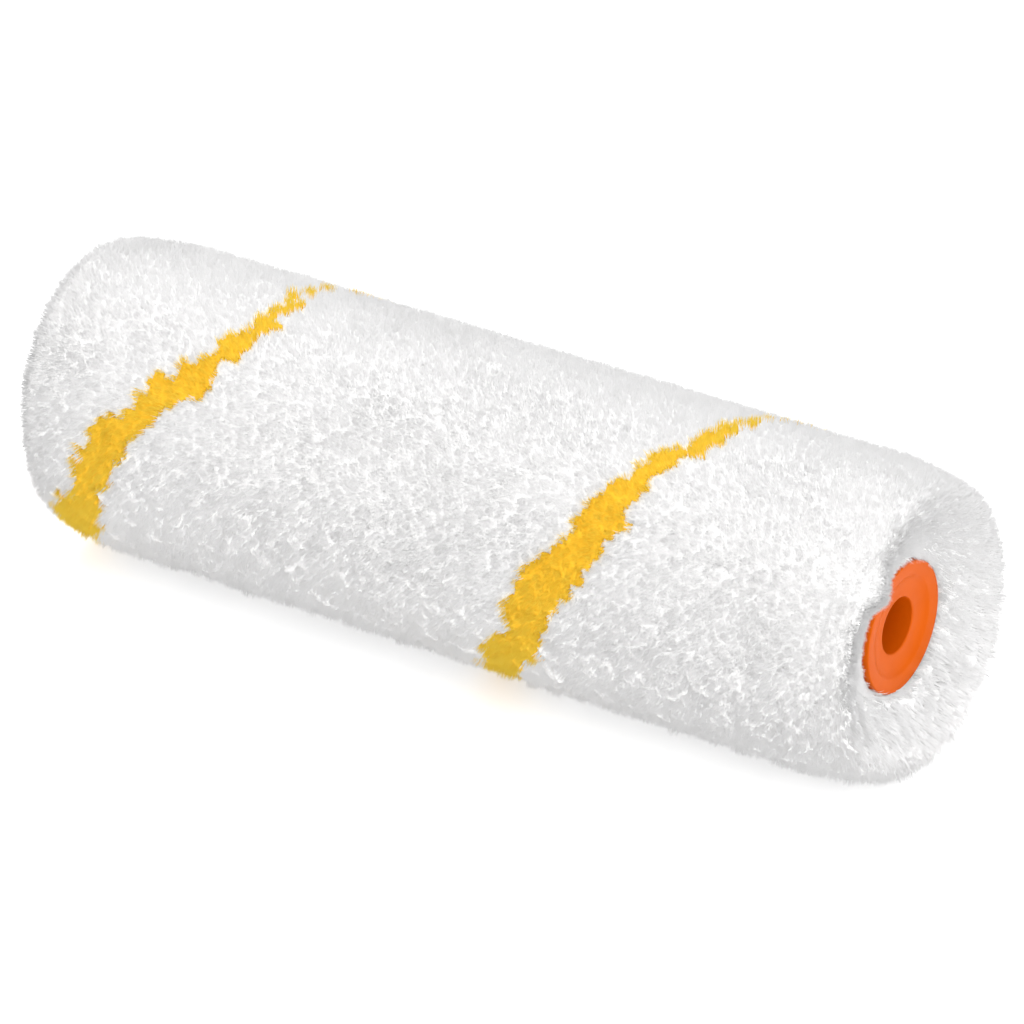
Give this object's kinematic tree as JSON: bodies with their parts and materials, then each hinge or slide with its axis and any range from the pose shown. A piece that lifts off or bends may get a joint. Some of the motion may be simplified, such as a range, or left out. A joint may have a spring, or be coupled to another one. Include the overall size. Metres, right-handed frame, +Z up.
{
  "type": "paint roller sleeve",
  "caption": "Mini paint roller sleeve: long white pile with a spiral yellow band, wound on a plastic core, with a flanged orange hub pressed into each end to run on a frame's wire.",
  "frame": {"origin": "middle of the sleeve, on its axis, halfway between the two hub faces", "axes": "+X along the axis, out of the front hub; +Z up, so that the sleeve lies on its -Z side"},
  "size_m": [0.1174, 0.0388, 0.0388],
  "materials": {
    "core_plastic": "satin polypropylene strip",
    "film_plastic": "thin melted film",
    "backing_knit": "fine knitted polyester backing",
    "white_yarn": "long fluffy off-white polyamide pile",
    "yellow_yarn": "long fluffy yellow polyamide pile",
    "orange_plastic": "moulded, satin to gloss"
  },
  "bodies": {
    "root": {"core_inner_ply": "core_plastic", "core_outer_ply": "core_plastic", "bonding_film": "film_plastic", "knit_backing": "backing_knit", "white_pile": "white_yarn", "yellow_pile": "yellow_yarn", "front_hub": "orange_plastic", "rear_hub": "orange_plastic"}
  },
  "joints": []
}
